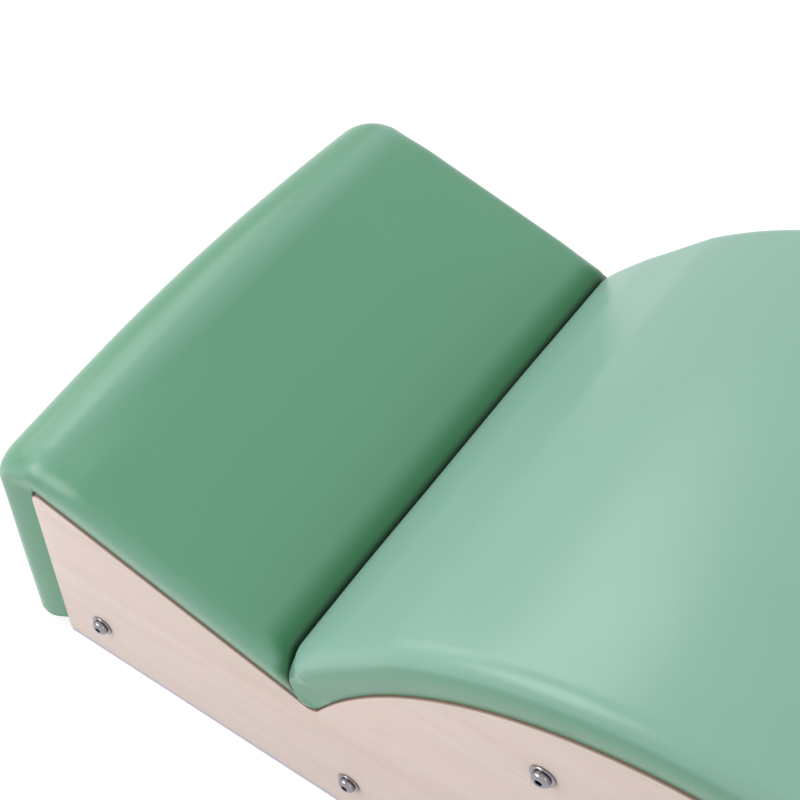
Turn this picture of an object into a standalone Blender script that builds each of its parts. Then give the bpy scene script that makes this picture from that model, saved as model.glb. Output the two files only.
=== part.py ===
"""Spine corrector: a low padded step beside a padded half barrel, for lying and arching over.

Two plywood side panels are held apart by five wooden rails and bolted together. The step pad and
the barrel pad rest on the panels' top edges, screwed to cleats and ribs inside. The shape is drawn
in the X-Z plane, with X from the step's end towards the barrel, and runs across the width along Y.
Lengths are in metres. Nothing on the object moves.
"""

import math

import bmesh
import bpy
from mathutils import Matrix, Vector

# Side panels
WIDTH = 0.480
PANEL = 0.018
STEP_HEIGHT = 0.1916
STEP_SLOPE = math.radians(15.3)
ARC_RADIUS = 0.340
ARC_X = 0.5682
ARC_DROP = 0.0336
PANEL_CORNER = 0.008
VALLEY_FILLET = 0.010

# Clearance between pieces that touch on the real object
FIT = 0.0003

# Pads: boards, foam over them and a cover round both
PAD = 0.0415
BOARD = 0.012
COVER = 0.0012
FOAM_EASE = 0.001
CROWN = 0.004
PAD_TUCK = 0.002
PAD_BULGE = 0.002
BULGE_RISE = 0.016
EDGE_ROUND = 0.018
RIDGE_ROUND = 0.026
RIDGE_DEPTH = 0.0145
RIDGE_RADIUS = 0.042
NEAR_SAG = 0.0118
FAR_SAG = 0.006
SAG_POWER = 1.8
SAG_START = 0.1
SAG_SWEEP = 2.6
HEM_ROUND = 0.0025
HEM_CORNER = 0.004
TOE_RADIUS = 0.004
TOE_ROUND = 0.006
PAD_FOOT = -0.001
PAD_HEEL = 0.009
BOARD_FOOT = 0.018
BOARD_CORNER = 0.015

# Crease, where the two pads press together
CREASE_SETBACK = 0.0240
CREASE_SINK = 0.003
CREASE_PULL = 0.0145
CREASE_DIVE = 0.023
CREASE_GAP = 0.0006
CREASE_ROUND = 0.028
CREASE_FALL = 0.020
CREASE_FOOT = 0.08
STEP_END_RADIUS = 0.022
NOSE_END = math.radians(138)
NOSE_RISE = 0.004
NOSE_BLEND = 0.045
STEP_BOARD_SETBACK = 0.030
BARREL_BOARD_SETBACK = 0.004

# Rails, and where the bolts go through the panels
RAIL = 0.040
STEP_RAIL_X = 0.0443
VALLEY_RAIL_X = 0.2933
LOW_RAIL_HEIGHT = 0.042
UPPER_RAIL_DEPTH = 0.0497
UPPER_RAIL_TILT = math.radians(24.1)
FAR_RAIL_INSET = 0.050

# M8 dome-head bolts, washers and threaded inserts
BOLT = 0.008
BOLT_LENGTH = 0.060
HEAD = 0.0142
HEAD_HEIGHT = 0.0046
SOCKET = 0.005
SOCKET_DEPTH = 0.0028
WASHER = 0.0196
WASHER_THICKNESS = 0.0015
INSERT = 0.012
INSERT_LENGTH = 0.025
TIP_ROOM = 0.004

# Cleats and ribs that hold the pads, and the screws through them
CLEAT = 0.020
CLEAT_INSET = 0.024
CLEAT_SPACE = 0.004
END_CLEAT_LENGTH = 0.085
RIB_START = math.radians(25)
RIB_END = math.radians(146)
RIB_SCREW_TILT = math.radians(36)
SCREW = 0.0045
SCREW_HEAD = 0.009
SCREW_HEAD_HEIGHT = 0.0025
SCREW_BITE = 0.007

# Anti-slip strip under each panel
GRIP = 0.0055
GRIP_INSET = 0.0005

# How finely curves are divided
ROUND_STEPS = 18
SMALL_STEPS = 12
ARC_STEPS = 36
PAD_ARC_STEPS = 20
EDGE_STEPS = 3
FOAM_EDGE_STEPS = 2

TAN = math.tan(STEP_SLOPE)
ALONG_SLOPE = Vector((math.cos(STEP_SLOPE), -math.sin(STEP_SLOPE)))
OFF_SLOPE = Vector((math.sin(STEP_SLOPE), math.cos(STEP_SLOPE)))
ARC_CENTRE = Vector((ARC_X, -ARC_DROP))
INNER_FACE = WIDTH / 2 - PANEL
SIDES = {"left": 1, "right": -1}
QUARTER = math.pi / 2


# The side panels' outline, which everything else follows

def slope_point(x, lift=0.0):
    """The point over the step's edge at x, on a line raised square to the edge by lift."""
    return Vector((x, STEP_HEIGHT + lift / OFF_SLOPE.y - TAN * x))


def arc_point(angle, lift=0.0):
    """The point over the arc at an angle, raised square to it by lift."""
    return ARC_CENTRE + Vector((math.cos(angle), math.sin(angle))) * (ARC_RADIUS + lift)


def arc_angle(point):
    """The angle of a point, seen from the arc's centre."""
    return math.atan2(point.y - ARC_CENTRE.y, point.x - ARC_CENTRE.x)


def angle_at_height(height, lift=0.0):
    """The angle at which the arc's far side, raised by lift, is at a height."""
    return math.asin((height + ARC_DROP) / (ARC_RADIUS + lift))


def valley(lift=0.0):
    """Where the step's edge meets the arc, both raised by lift."""
    rise = STEP_HEIGHT + lift / OFF_SLOPE.y + ARC_DROP
    a = 1 + TAN ** 2
    b = ARC_X + TAN * rise
    c = ARC_X ** 2 + rise ** 2 - (ARC_RADIUS + lift) ** 2
    return slope_point((b - math.sqrt(b * b - a * c)) / a, lift)


def spread(start, end, steps):
    """Evenly spaced values from start to end, both included."""
    return [start + (end - start) * i / steps for i in range(steps + 1)]


def turn_about(centre, radius, start, end, steps):
    """Points round a centre from one angle to another."""
    angles = spread(start, end, steps)
    return [centre + Vector((math.cos(a), math.sin(a))) * radius for a in angles]


def fillet(a, b, c, radius, steps):
    """The corner at b, between edges from a and to c, rounded to a radius."""
    u = (a - b).normalized()
    v = (c - b).normalized()
    half = math.acos(u.dot(v)) / 2
    centre = b + (u + v).normalized() * (radius / math.sin(half))
    first = b + u * (radius / math.tan(half)) - centre
    last = b + v * (radius / math.tan(half)) - centre
    start = math.atan2(first.y, first.x)
    turn = math.atan2(first.cross(last), first.dot(last))
    return turn_about(centre, radius, start, start + turn, steps)


def valley_fillet(lift=0.0):
    """The rounded bottom of the valley, from the step's edge to the arc, raised by lift."""
    centre = valley(VALLEY_FILLET)
    start = math.atan2(-OFF_SLOPE.y, -OFF_SLOPE.x)
    on_arc = ARC_CENTRE - centre
    end = math.atan2(on_arc.y, on_arc.x)
    return turn_about(centre, VALLEY_FILLET - lift, start, end, 4)


# Materials

def finish(name, colour, roughness, metallic=0.0):
    """A plain material with a colour given as a hexadecimal sRGB value."""
    made = bpy.data.materials.new(name)
    made.use_nodes = True
    linear = []
    for i in (0, 2, 4):
        value = int(colour[i:i + 2], 16) / 255
        linear.append(value / 12.92 if value <= 0.04045 else ((value + 0.055) / 1.055) ** 2.4)
    shader = made.node_tree.nodes["Principled BSDF"]
    shader.inputs["Base Color"].default_value = (*linear, 1.0)
    shader.inputs["Roughness"].default_value = roughness
    shader.inputs["Metallic"].default_value = metallic
    made.diffuse_color = (*linear, 1.0)
    return made


# Shapes

def mesh_from(bm, name):
    """Ends a bmesh as a mesh with smooth rounds and sharp corners."""
    bmesh.ops.remove_doubles(bm, verts=bm.verts, dist=FIT / 100)
    bmesh.ops.recalc_face_normals(bm, faces=bm.faces)
    mesh = bpy.data.meshes.new(name)
    bm.to_mesh(mesh)
    bm.free()
    mesh.shade_smooth()
    mesh.set_sharp_from_angle(angle=math.radians(30))
    return mesh


def place(name, mesh, material, parent, location=(0, 0, 0), turn=(0, 0, 0)):
    """Puts a mesh in the scene under its name."""
    mesh.materials.clear()
    mesh.materials.append(material)
    obj = bpy.data.objects.new(name, mesh)
    obj.location = location
    obj.rotation_euler = turn
    obj.parent = parent
    bpy.context.scene.collection.objects.link(obj)
    return obj


def prism(name, outline, low, high):
    """A board with an outline in the X-Z plane, from y = low to y = high."""
    bm = bmesh.new()
    face = bm.faces.new([bm.verts.new((p.x, low, p.y)) for p in outline])
    grown = bmesh.ops.extrude_face_region(bm, geom=[face])["geom"]
    moved = [v for v in grown if isinstance(v, bmesh.types.BMVert)]
    bmesh.ops.translate(bm, verts=moved, vec=(0, high - low, 0))
    return mesh_from(bm, name)


def turned(name, rings, steps, bored=False):
    """A piece turned about Z from rings of a height and a radius, closed at its ends or bored."""
    bm = bmesh.new()
    loops = []
    for height, radius in rings:
        loop = []
        for i in range(steps):
            angle = 2 * math.pi * i / steps
            reach = radius(angle) if callable(radius) else radius
            loop.append(bm.verts.new((reach * math.cos(angle), reach * math.sin(angle), height)))
        loops.append(loop)
    pairs = list(zip(loops, loops[1:]))
    if bored:
        pairs.append((loops[-1], loops[0]))
    else:
        bm.faces.new(loops[0])
        bm.faces.new(loops[-1])
    for lower, upper in pairs:
        for i in range(steps):
            j = (i + 1) % steps
            bm.faces.new((lower[i], lower[j], upper[j], upper[i]))
    return mesh_from(bm, name)


def drill(obj, name, starts, direction, radius, depth):
    """Drills round holes into an object, all the same way and to the same depth."""
    bm = bmesh.new()
    turn = Vector((0, 0, 1)).rotation_difference(direction).to_matrix().to_4x4()
    for start in starts:
        middle = Matrix.Translation(start + direction * (depth / 2))
        bmesh.ops.create_cone(bm, cap_ends=True, segments=ROUND_STEPS, radius1=radius,
                              radius2=radius, depth=depth, matrix=middle @ turn)
    cutter = bpy.data.objects.new(name, mesh_from(bm, name))
    cutter.parent = obj
    cutter.hide_render = True
    cutter.display_type = "WIRE"
    bpy.context.scene.collection.objects.link(cutter)
    cut = obj.modifiers.new(name, "BOOLEAN")
    cut.operation = "DIFFERENCE"
    cut.object = cutter


# Side panels and the strips under them

def side_panels(parent, plywood):
    corner = fillet(Vector((0, 0)), slope_point(0), valley(), PANEL_CORNER, 4)
    dip = valley_fillet()
    angles = spread(arc_angle(dip[-1]), angle_at_height(0), ARC_STEPS)
    outline = [Vector((0, 0))] + corner + dip + [arc_point(a) for a in angles[1:]]
    across = Vector((0, 1, 0))
    for side, sign in SIDES.items():
        low, high = sorted((sign * INNER_FACE, sign * WIDTH / 2))
        name = f"side_panel_{side}"
        panel = place(name, prism(name, outline, low, high), plywood, parent)
        starts = [Vector((c.x, low - PANEL / 2, c.y)) for c, _ in rail_places().values()]
        drill(panel, f"{name}_holes", starts, across, BOLT / 2 + FIT, PANEL * 2)


def grip_strips(parent, rubber):
    far = arc_point(angle_at_height(0)).x - GRIP_INSET
    corners = ((GRIP_INSET, -GRIP), (far, -GRIP), (far, -FIT), (GRIP_INSET, -FIT))
    for side, sign in SIDES.items():
        low, high = sorted((sign * (INNER_FACE + FIT), sign * (WIDTH / 2 - FIT)))
        name = f"grip_strip_{side}"
        place(name, prism(name, [Vector(c) for c in corners], low, high), rubber, parent)


# Rails and their bolts, washers and inserts

def rail_places():
    """The centre and tilt of each rail. A bolt goes through each panel on the same centre."""
    lean = Vector((math.sin(UPPER_RAIL_TILT), math.cos(UPPER_RAIL_TILT)))
    reach = ARC_RADIUS - UPPER_RAIL_DEPTH
    far = arc_point(angle_at_height(LOW_RAIL_HEIGHT)).x
    return {
        "step": (Vector((STEP_RAIL_X, LOW_RAIL_HEIGHT)), 0),
        "valley": (Vector((VALLEY_RAIL_X, LOW_RAIL_HEIGHT)), 0),
        "front": (ARC_CENTRE + Vector((-lean.x, lean.y)) * reach, UPPER_RAIL_TILT),
        "rear": (ARC_CENTRE + lean * reach, -UPPER_RAIL_TILT),
        "far": (Vector((far - FAR_RAIL_INSET, LOW_RAIL_HEIGHT)), 0),
    }


def rails(parent, timber):
    end = INNER_FACE - FIT
    corners = ((-1, -1), (1, -1), (1, 1), (-1, 1))
    for label, (centre, tilt) in rail_places().items():
        turn = Matrix.Rotation(tilt, 2)
        outline = [centre + turn @ Vector(c) * (RAIL / 2) for c in corners]
        rail = place(f"{label}_rail", prism(label, outline, -end, end), timber, parent)
        for side, sign in SIDES.items():
            start = [Vector((centre.x, sign * (end + FIT), centre.y))]
            inward = Vector((0, -sign, 0))
            bore = INSERT / 2 + FIT
            drill(rail, f"{label}_{side}_seat", start, inward, bore, INSERT_LENGTH + FIT * 2)
            tip = BOLT_LENGTH - WASHER_THICKNESS - PANEL + TIP_ROOM
            drill(rail, f"{label}_{side}_pilot", start, inward, BOLT / 2 + FIT, tip)


def hexagon(size):
    """The reach of a hexagon's edge at an angle, from its size across the flats."""
    def reach(angle):
        return size / 2 / math.cos((angle + math.pi / 6) % (math.pi / 3) - math.pi / 6)
    return reach


def fasteners(parent, steel, brass):
    shank = BOLT / 2
    bore = shank + FIT
    head = HEAD / 2
    bolt_rings = [
        (-BOLT_LENGTH, shank * 0.8),
        (-BOLT_LENGTH + shank * 0.2, shank),
        (0, shank),
        (0, head),
        (HEAD_HEIGHT * 0.2, head),
        (HEAD_HEIGHT * 0.7, head * 0.80),
        (HEAD_HEIGHT, head * 0.48),
        (HEAD_HEIGHT, hexagon(SOCKET)),
        (HEAD_HEIGHT - SOCKET_DEPTH, hexagon(SOCKET)),
    ]
    washer_rings = [(0, bore), (0, WASHER / 2), (WASHER_THICKNESS, WASHER / 2),
                    (WASHER_THICKNESS, bore)]
    insert_rings = [(-INSERT_LENGTH, bore), (-INSERT_LENGTH, INSERT / 2), (0, INSERT / 2),
                    (0, bore)]
    bolt = turned("dome_bolt", bolt_rings, ROUND_STEPS)
    washer = turned("washer", washer_rings, ROUND_STEPS, bored=True)
    insert = turned("insert", insert_rings, ROUND_STEPS, bored=True)
    on_panel = WIDTH / 2 + FIT
    under_head = on_panel + WASHER_THICKNESS + FIT
    in_rail = INNER_FACE - FIT
    for side, sign in SIDES.items():
        turn = (-sign * QUARTER, 0, 0)
        for label, (centre, _) in rail_places().items():
            for kind, mesh, y, metal in (("bolt", bolt, under_head, steel),
                                         ("washer", washer, on_panel, steel),
                                         ("insert", insert, in_rail, brass)):
                where = (centre.x, sign * y, centre.y)
                place(f"{label}_{kind}_{side}", mesh, metal, parent, where, turn)


# The pads' outlines, as rows that run across the width

def crease_handles():
    """The four handles of the curve between the pads, from the valley up to their surfaces."""
    angle = arc_angle(valley_fillet()[-1])
    deep = arc_point(angle - HEM_ROUND / ARC_RADIUS, FIT)
    low = deep - (OFF_SLOPE + ALONG_SLOPE) * CREASE_PULL
    top = slope_point(valley().x - CREASE_SETBACK, PAD) - Vector((0, CREASE_SINK))
    high = top - OFF_SLOPE * CREASE_DIVE + ALONG_SLOPE * CREASE_PULL
    return deep, low, high, top


def crease_point(share, shift=0.0):
    """A point between the pads, from the valley at 0 to the top at 1, shifted to the barrel."""
    a, b, c, d = crease_handles()
    rest = 1 - share
    point = a * rest ** 3 + b * (3 * rest ** 2 * share) + c * (3 * rest * share ** 2)
    point += d * share ** 3
    run = (b - a) * rest ** 2 + (c - b) * (2 * rest * share) + (d - c) * share ** 2
    return point + Vector((run.y, -run.x)).normalized() * shift


def crease_row(share, side, foot):
    """A row on the face that one pad presses on the other. It slips down towards the sides."""
    _, _, high, top = crease_handles()
    fall = CREASE_FALL / (3 * (top - high).length)

    def place_at(turn, across, sink):
        upper = 1 - fall * (1 - math.cos(turn))
        shift = sink if side > 0 else -sink - CREASE_GAP
        return crease_point(foot + (upper - foot) * share, shift)

    return CREASE_ROUND, place_at


def surface_row(point, normal, edge, depth, crown, sag, fall_way):
    """A row on the pad's surface. It is swollen in the middle, pulled in towards the two sides, the
    more so on the right, and rounded over at its two ends."""
    def place_at(turn, across, sink):
        swell = CROWN * crown * (1 - across ** 2)
        pull = sag * (FAR_SAG if across > 0 else NEAR_SAG) * abs(across) ** SAG_POWER
        inset = sink if fall_way else sink * math.cos(turn)
        level = point + normal * (swell - pull - inset)
        return level - (fall_way or normal) * (depth * (1 - math.cos(turn)))

    return edge, place_at


def surface_rows(before, stops, after, fall_way=None):
    """Rows square to a run of points, each with its rounding's width and depth, its crown and its
    sag. The rounding falls square to the surface, or in a given way."""
    points = [before] + [stop[0] for stop in stops] + [after]
    rows = []
    for i, (point, *shape) in enumerate(stops):
        run = points[i + 2] - points[i]
        rows.append(surface_row(point, Vector((-run.y, run.x)).normalized(), *shape, fall_way))
    return rows


def slope_lift(point):
    """How far a point is over the step's edge."""
    return (point - slope_point(0)).dot(OFF_SLOPE)


def arc_lift(point):
    """How far a point is over the arc."""
    return (point - ARC_CENTRE).length - ARC_RADIUS


def crease_foot(lift, floor):
    """The lowest share of the crease that is used: its foot, or where it clears a floor."""
    share = CREASE_FOOT
    while lift(crease_point(share)) < floor:
        share += 0.01
    return share


def step_rows(floor):
    """The step pad's rows, from the foot of its end to the valley, that lie over a floor."""
    heel = Vector((-FIT, PAD_HEEL))
    toe = Vector((-PAD, PAD_FOOT))
    ridge = slope_point(-PAD, PAD)
    top = crease_point(1, -CREASE_GAP)
    bottom = fillet(heel, toe, ridge, TOE_RADIUS, 3)
    over = fillet(toe, ridge, slope_point(top.x, PAD), RIDGE_RADIUS, 7)
    # The surface leaves its plane on an arc that reaches the top of the crease.
    drop = PAD - slope_lift(top)
    run = math.sqrt(2 * STEP_END_RADIUS * drop - drop ** 2)
    leave = top + OFF_SLOPE * drop - ALONG_SLOPE * run
    start = math.atan2(OFF_SLOPE.y, OFF_SLOPE.x)
    turn = math.asin(run / STEP_END_RADIUS)
    centre = leave - OFF_SLOPE * STEP_END_RADIUS
    ease = turn_about(centre, STEP_END_RADIUS, start, start - turn, 3)[:-1]
    towards_ridge = ((EDGE_ROUND + RIDGE_ROUND) / 2, (EDGE_ROUND + RIDGE_DEPTH) / 2)
    towards_crease = ((EDGE_ROUND + CREASE_ROUND) / 2, (EDGE_ROUND + CREASE_FALL) / 2)
    stops = [(p, EDGE_ROUND, EDGE_ROUND, 0.0, 0.0) for p in bottom]
    rows = surface_rows(heel, stops, ridge, (toe - heel).normalized())
    stops = [(toe.lerp(ridge, 0.35), EDGE_ROUND, EDGE_ROUND, 0.6, 0.0)]
    stops += [(p, RIDGE_ROUND, RIDGE_DEPTH, 1.0, math.sin(SAG_START + SAG_SWEEP * i / len(over)))
              for i, p in enumerate(over)]
    stops += [(over[-1].lerp(leave, 0.2), *towards_ridge, 0.8, 0.0)]
    stops += [(over[-1].lerp(leave, t), EDGE_ROUND, EDGE_ROUND, 1.0, 0.0) for t in (0.5, 0.8)]
    stops += [(p, *towards_crease, 0.3, 0.0) for p in ease]
    rows += surface_rows(bottom[-1], stops, top)
    if not floor:
        rows = surface_rows(heel, [(heel, HEM_ROUND, HEM_ROUND, 0.0, 0.0)], bottom[0]) + rows
    low = crease_foot(slope_lift, floor)
    return rows + [crease_row(share, -1, low) for share in spread(1, 0, 5)]


def barrel_angles():
    """The angles of the barrel pad's rows, from its nose to its far end."""
    return spread(NOSE_END, angle_at_height(PAD_FOOT + TOE_RADIUS * 2, PAD), PAD_ARC_STEPS)


def barrel_rows(floor):
    """The barrel pad's rows, from the valley to the foot of its far end, that lie over a floor."""
    top = crease_point(1)
    join = arc_point(NOSE_END, PAD)
    along = Vector((math.sin(NOSE_END), -math.cos(NOSE_END)))
    rise = top + (top - crease_handles()[2]).normalized() * NOSE_RISE
    pull = join - along * NOSE_BLEND
    nose = []
    for t in (0.2, 0.45, 0.72):
        s = 1 - t
        nose.append(top * s ** 3 + rise * (3 * s * s * t) + pull * (3 * s * t * t) + join * t ** 3)
    heel = arc_point(angle_at_height(PAD_HEEL), FIT)
    toe = arc_point(angle_at_height(PAD_FOOT, PAD), PAD)
    arc = [arc_point(a, PAD) for a in barrel_angles()]
    bottom = fillet(arc[-1], toe, heel, TOE_RADIUS, 3)
    towards_crease = ((EDGE_ROUND + CREASE_ROUND) / 2, (EDGE_ROUND + CREASE_FALL) / 2)
    towards_toe = (EDGE_ROUND + TOE_ROUND) / 2
    stops = [(p, *towards_crease, 0.4, 0.0) for p in nose]
    stops += [(p, EDGE_ROUND, EDGE_ROUND, 0.6, 0.0) for p in arc[:-1]]
    stops += [(arc[-1], towards_toe, towards_toe, 0.4, 0.0)]
    stops += [(p, TOE_ROUND, TOE_ROUND, 0.0, 0.0) for p in bottom]
    rows = surface_rows(top, stops, heel)
    if not floor:
        rows += surface_rows(bottom[-1], [(heel, HEM_ROUND, HEM_ROUND, 0.0, 0.0)], heel)
    low = crease_foot(arc_lift, floor)
    return [crease_row(share, 1, low) for share in spread(0, 1, 5)] + rows


def step_board_end(lift):
    """The upper end of the step's top board at the crease, raised by lift."""
    return slope_point(valley().x - STEP_BOARD_SETBACK) + OFF_SLOPE * lift


def boards_corner(face):
    """The rounded outer corner of the step's boards, whose faces are raised by face: the part on
    the top board and the part on the end board."""
    centre = slope_point(BOARD_CORNER - face, face - BOARD_CORNER)
    level = QUARTER - STEP_SLOPE
    top_start, end_start = (level + math.acos((lift - face + BOARD_CORNER) / BOARD_CORNER) for lift in (FIT, 0))
    on_top = turn_about(centre, BOARD_CORNER, top_start, level, 4)
    return on_top, turn_about(centre, BOARD_CORNER, end_start, math.pi, 2)


def step_hem(lift):
    """Finds the nearest point to a place in the pad on the step's end and slope, raised by lift."""
    if lift < VALLEY_FILLET:
        radius, rest = HEM_CORNER, valley_fillet(lift)
    else:
        radius, rest = BOARD_CORNER, [step_board_end(lift) + ALONG_SLOPE * FIT]
    foot = Vector((-lift, PAD_HEEL + HEM_ROUND))
    path = [foot] + fillet(foot, slope_point(-lift, lift), rest[0], radius, 6) + rest

    def nearest(point):
        best = path[0]
        for start, end in zip(path, path[1:]):
            run = end - start
            share = (point - start).dot(run) / run.length_squared
            spot = start + run * max(0.0, min(1.0, share))
            if (spot - point).length < (best - point).length:
                best = spot
        return best

    return nearest


def barrel_hem(lift):
    """Finds the nearest point to a place in the pad on the arc, raised by lift."""
    low = angle_at_height(PAD_HEEL + HEM_ROUND)
    high = arc_angle(crease_point(0))
    if lift >= VALLEY_FILLET:
        high -= BARREL_BOARD_SETBACK / ARC_RADIUS
    # The hem runs straight from row to row, so its corners stand off the arc.
    angles = barrel_angles()
    stand_off = (ARC_RADIUS + lift) * (1 / math.cos((angles[0] - angles[1]) / 2) - 1)

    def nearest(point):
        return arc_point(max(low, min(high, arc_angle(point))), lift + stand_off)

    return nearest


def pad_sheet(bm, rows, nearest, sink, edge_steps):
    """A grid of vertices over a pad, from one side's lower edge to the other's."""
    lower = WIDTH / 2 - PAD_TUCK - sink
    columns = [(1, turn) for turn in spread(QUARTER, 0, edge_steps)[:-1]]
    columns += [(share, 0) for share in spread(1, 0, 3)]
    grid = []
    for edge, place_at in rows:
        halves = []
        for sign in SIDES.values():
            rim = place_at(QUARTER, sign, sink)
            hem = nearest(rim)
            height = (rim - hem).length
            swell = (PAD_TUCK + PAD_BULGE) * min(1, height / BULGE_RISE)
            half_swell = (PAD_TUCK + PAD_BULGE) * min(1, height / 2 / BULGE_RISE)
            flat = lower + swell + sink - edge
            half = [(hem, lower), (rim.lerp(hem, 0.5), lower + half_swell)]
            for share, turn in columns:
                y = share * (flat + (edge - sink) * math.sin(turn))
                half.append((place_at(turn, sign * min(1, 2 * y / WIDTH), sink), y))
            halves.append([(p.x, sign * y, p.y) for p, y in half])
        line = halves[0] + halves[1][-2::-1]
        grid.append([bm.verts.new(spot) for spot in line])
    return grid


def quads(bm, first, second):
    """A strip of faces between two lines of vertices."""
    for i in range(len(first) - 1):
        bm.faces.new((first[i], first[i + 1], second[i + 1], second[i]))


def cover(name, rows, hem_at):
    """A pad's cover: a skin over its top, sides and ends, open underneath."""
    bm = bmesh.new()
    outer = pad_sheet(bm, rows, hem_at(FIT), 0, EDGE_STEPS)
    inner = pad_sheet(bm, rows, hem_at(FIT), COVER, EDGE_STEPS)
    for grid in (outer, inner):
        for first, second in zip(grid, grid[1:]):
            quads(bm, first, second)
    quads(bm, outer[0], inner[0])
    quads(bm, outer[-1], inner[-1])
    quads(bm, [line[0] for line in outer], [line[0] for line in inner])
    quads(bm, [line[-1] for line in outer], [line[-1] for line in inner])
    return mesh_from(bm, name)


def foam(name, rows, hem_at):
    """A pad's foam, which fills the cover down to the board."""
    bm = bmesh.new()
    grid = pad_sheet(bm, rows, hem_at(FIT + BOARD + FIT * 2), COVER + FOAM_EASE, FOAM_EDGE_STEPS)
    for first, second in zip(grid, grid[1:]):
        quads(bm, first, second)
        bm.faces.new((first[0], first[-1], second[-1], second[0]))
    bm.faces.new(grid[0])
    bm.faces.new(grid[-1])
    return mesh_from(bm, name)


# Pads, and the cleats, ribs and screws that hold them

def pads(parent, leather, sponge, plywood, steel):
    side = WIDTH / 2 - PAD_TUCK - COVER - FIT
    face = FIT + BOARD
    floor = FIT + BOARD + FIT * 2 + COVER + FOAM_EASE
    on_top, on_end = boards_corner(face)
    top_outline = [step_board_end(face), step_board_end(FIT)] + on_top
    end_outline = [Vector((-face, BOARD_FOOT)), Vector((-FIT, BOARD_FOOT)), slope_point(-FIT)] + on_end
    first = arc_angle(crease_point(0)) - BARREL_BOARD_SETBACK / ARC_RADIUS
    angles = spread(first, angle_at_height(BOARD_FOOT), ARC_STEPS)
    bent_outline = [arc_point(a, FIT) for a in angles]
    bent_outline += [arc_point(a, face) for a in angles[::-1]]
    boards = {}
    for name, outline in (("step_top_board", top_outline), ("step_end_board", end_outline),
                          ("barrel_board", bent_outline)):
        boards[name] = place(name, prism(name, outline, -side, side), plywood, parent)
    place("step_cover", cover("step_cover", step_rows(0), step_hem), leather, parent)
    place("step_foam", foam("step_foam", step_rows(floor), step_hem), sponge, parent)
    place("barrel_cover", cover("barrel_cover", barrel_rows(0), barrel_hem), leather, parent)
    place("barrel_foam", foam("barrel_foam", barrel_rows(floor), barrel_hem), sponge, parent)
    cleats(parent, boards, plywood, steel)


def cleats(parent, boards, plywood, steel):
    cleat_end = valley().x - STEP_BOARD_SETBACK - CLEAT
    under = slope_point(CLEAT_INSET) - OFF_SLOPE * CLEAT
    under_end = slope_point(cleat_end) - OFF_SLOPE * CLEAT
    top_cleat = [slope_point(CLEAT_INSET), slope_point(cleat_end), under_end, under]
    cleat_top = under.y - CLEAT_SPACE
    cleat_low = cleat_top - END_CLEAT_LENGTH
    end_cleat = [Vector(c) for c in ((0, cleat_low), (CLEAT, cleat_low), (CLEAT, cleat_top),
                                     (0, cleat_top))]
    angles = spread(RIB_END, RIB_START, ARC_STEPS)
    rib = [arc_point(a) for a in angles] + [arc_point(a, -CLEAT) for a in angles[::-1]]
    step_screw = under.lerp(under_end, 0.5)
    end_screw = Vector((CLEAT, (cleat_low + cleat_top) / 2))
    lean = (QUARTER + RIB_SCREW_TILT, QUARTER - RIB_SCREW_TILT)
    rib_screws = [(arc_point(a, -CLEAT), Vector((math.cos(a), math.sin(a)))) for a in lean]
    length = FIT + CLEAT + FIT + SCREW_BITE
    head = SCREW_HEAD / 2
    screw_rings = [(-SCREW_HEAD_HEIGHT, head * 0.6), (-SCREW_HEAD_HEIGHT / 2, head), (0, head),
                   (0, SCREW / 2), (length - SCREW, SCREW / 2), (length, SCREW / 8)]
    screw = turned("screw", screw_rings, SMALL_STEPS)
    for side, sign in SIDES.items():
        low, high = sorted((sign * (INNER_FACE - FIT), sign * (INNER_FACE - FIT - CLEAT)))
        for name, outline, board, screws in (
                ("step_cleat", top_cleat, "step_top_board", [(step_screw, OFF_SLOPE)]),
                ("end_cleat", end_cleat, "step_end_board", [(end_screw, Vector((-1, 0)))]),
                ("barrel_rib", rib, "barrel_board", rib_screws)):
            holder = place(f"{name}_{side}", prism(name, outline, low, high), plywood, parent)
            for i, (under_side, way) in enumerate(screws, 1):
                direction = Vector((way.x, 0, way.y))
                start = Vector((under_side.x, (low + high) / 2, under_side.y)) - direction * FIT
                label = f"{name}_screw_{side}" if len(screws) == 1 else f"{name}_screw_{i}_{side}"
                for piece in (holder, boards[board]):
                    depth = length + FIT
                    drill(piece, f"{label}_hole", [start], direction, SCREW / 2 + FIT, depth)
                turn = Vector((0, 0, 1)).rotation_difference(direction).to_euler()
                place(label, screw, steel, parent, start, turn)


def stand(parent):
    """Sets the object's lowest point on the floor and its middle over the origin."""
    bpy.context.view_layer.update()
    spots = [o.matrix_world @ v.co for o in parent.children for v in o.data.vertices]
    xs = [spot.x for spot in spots]
    parent.location = (-(min(xs) + max(xs)) / 2, 0, -min(spot.z for spot in spots))


def main():
    for obj in list(bpy.data.objects):
        bpy.data.objects.remove(obj, do_unlink=True)
    plywood = finish("birch_plywood", "D9CBC2", 0.45)
    timber = finish("beech", "C9A77C", 0.55)
    leather = finish("green_leather", "86B399", 0.5)
    sponge = finish("foam", "E6DFC8", 0.95)
    steel = finish("stainless_steel", "C9C9CC", 0.22, 1.0)
    brass = finish("brass", "C9A24E", 0.35, 1.0)
    rubber = finish("grip_rubber", "B9B4BC", 0.8)
    root = bpy.data.objects.new("spine_corrector", None)
    bpy.context.scene.collection.objects.link(root)
    side_panels(root, plywood)
    grip_strips(root, rubber)
    rails(root, timber)
    fasteners(root, steel, brass)
    pads(root, leather, sponge, plywood, steel)
    stand(root)


main()
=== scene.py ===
"""Looks of a spine corrector: plywood sides, upholstered step and half barrel, bolts and rails.

The object stands with its step towards -X and its barrel towards +X. Lengths are in metres.
"""

import math

import bmesh
import bpy
from mathutils import Matrix, Vector, noise
from mathutils.bvhtree import BVHTree


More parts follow.
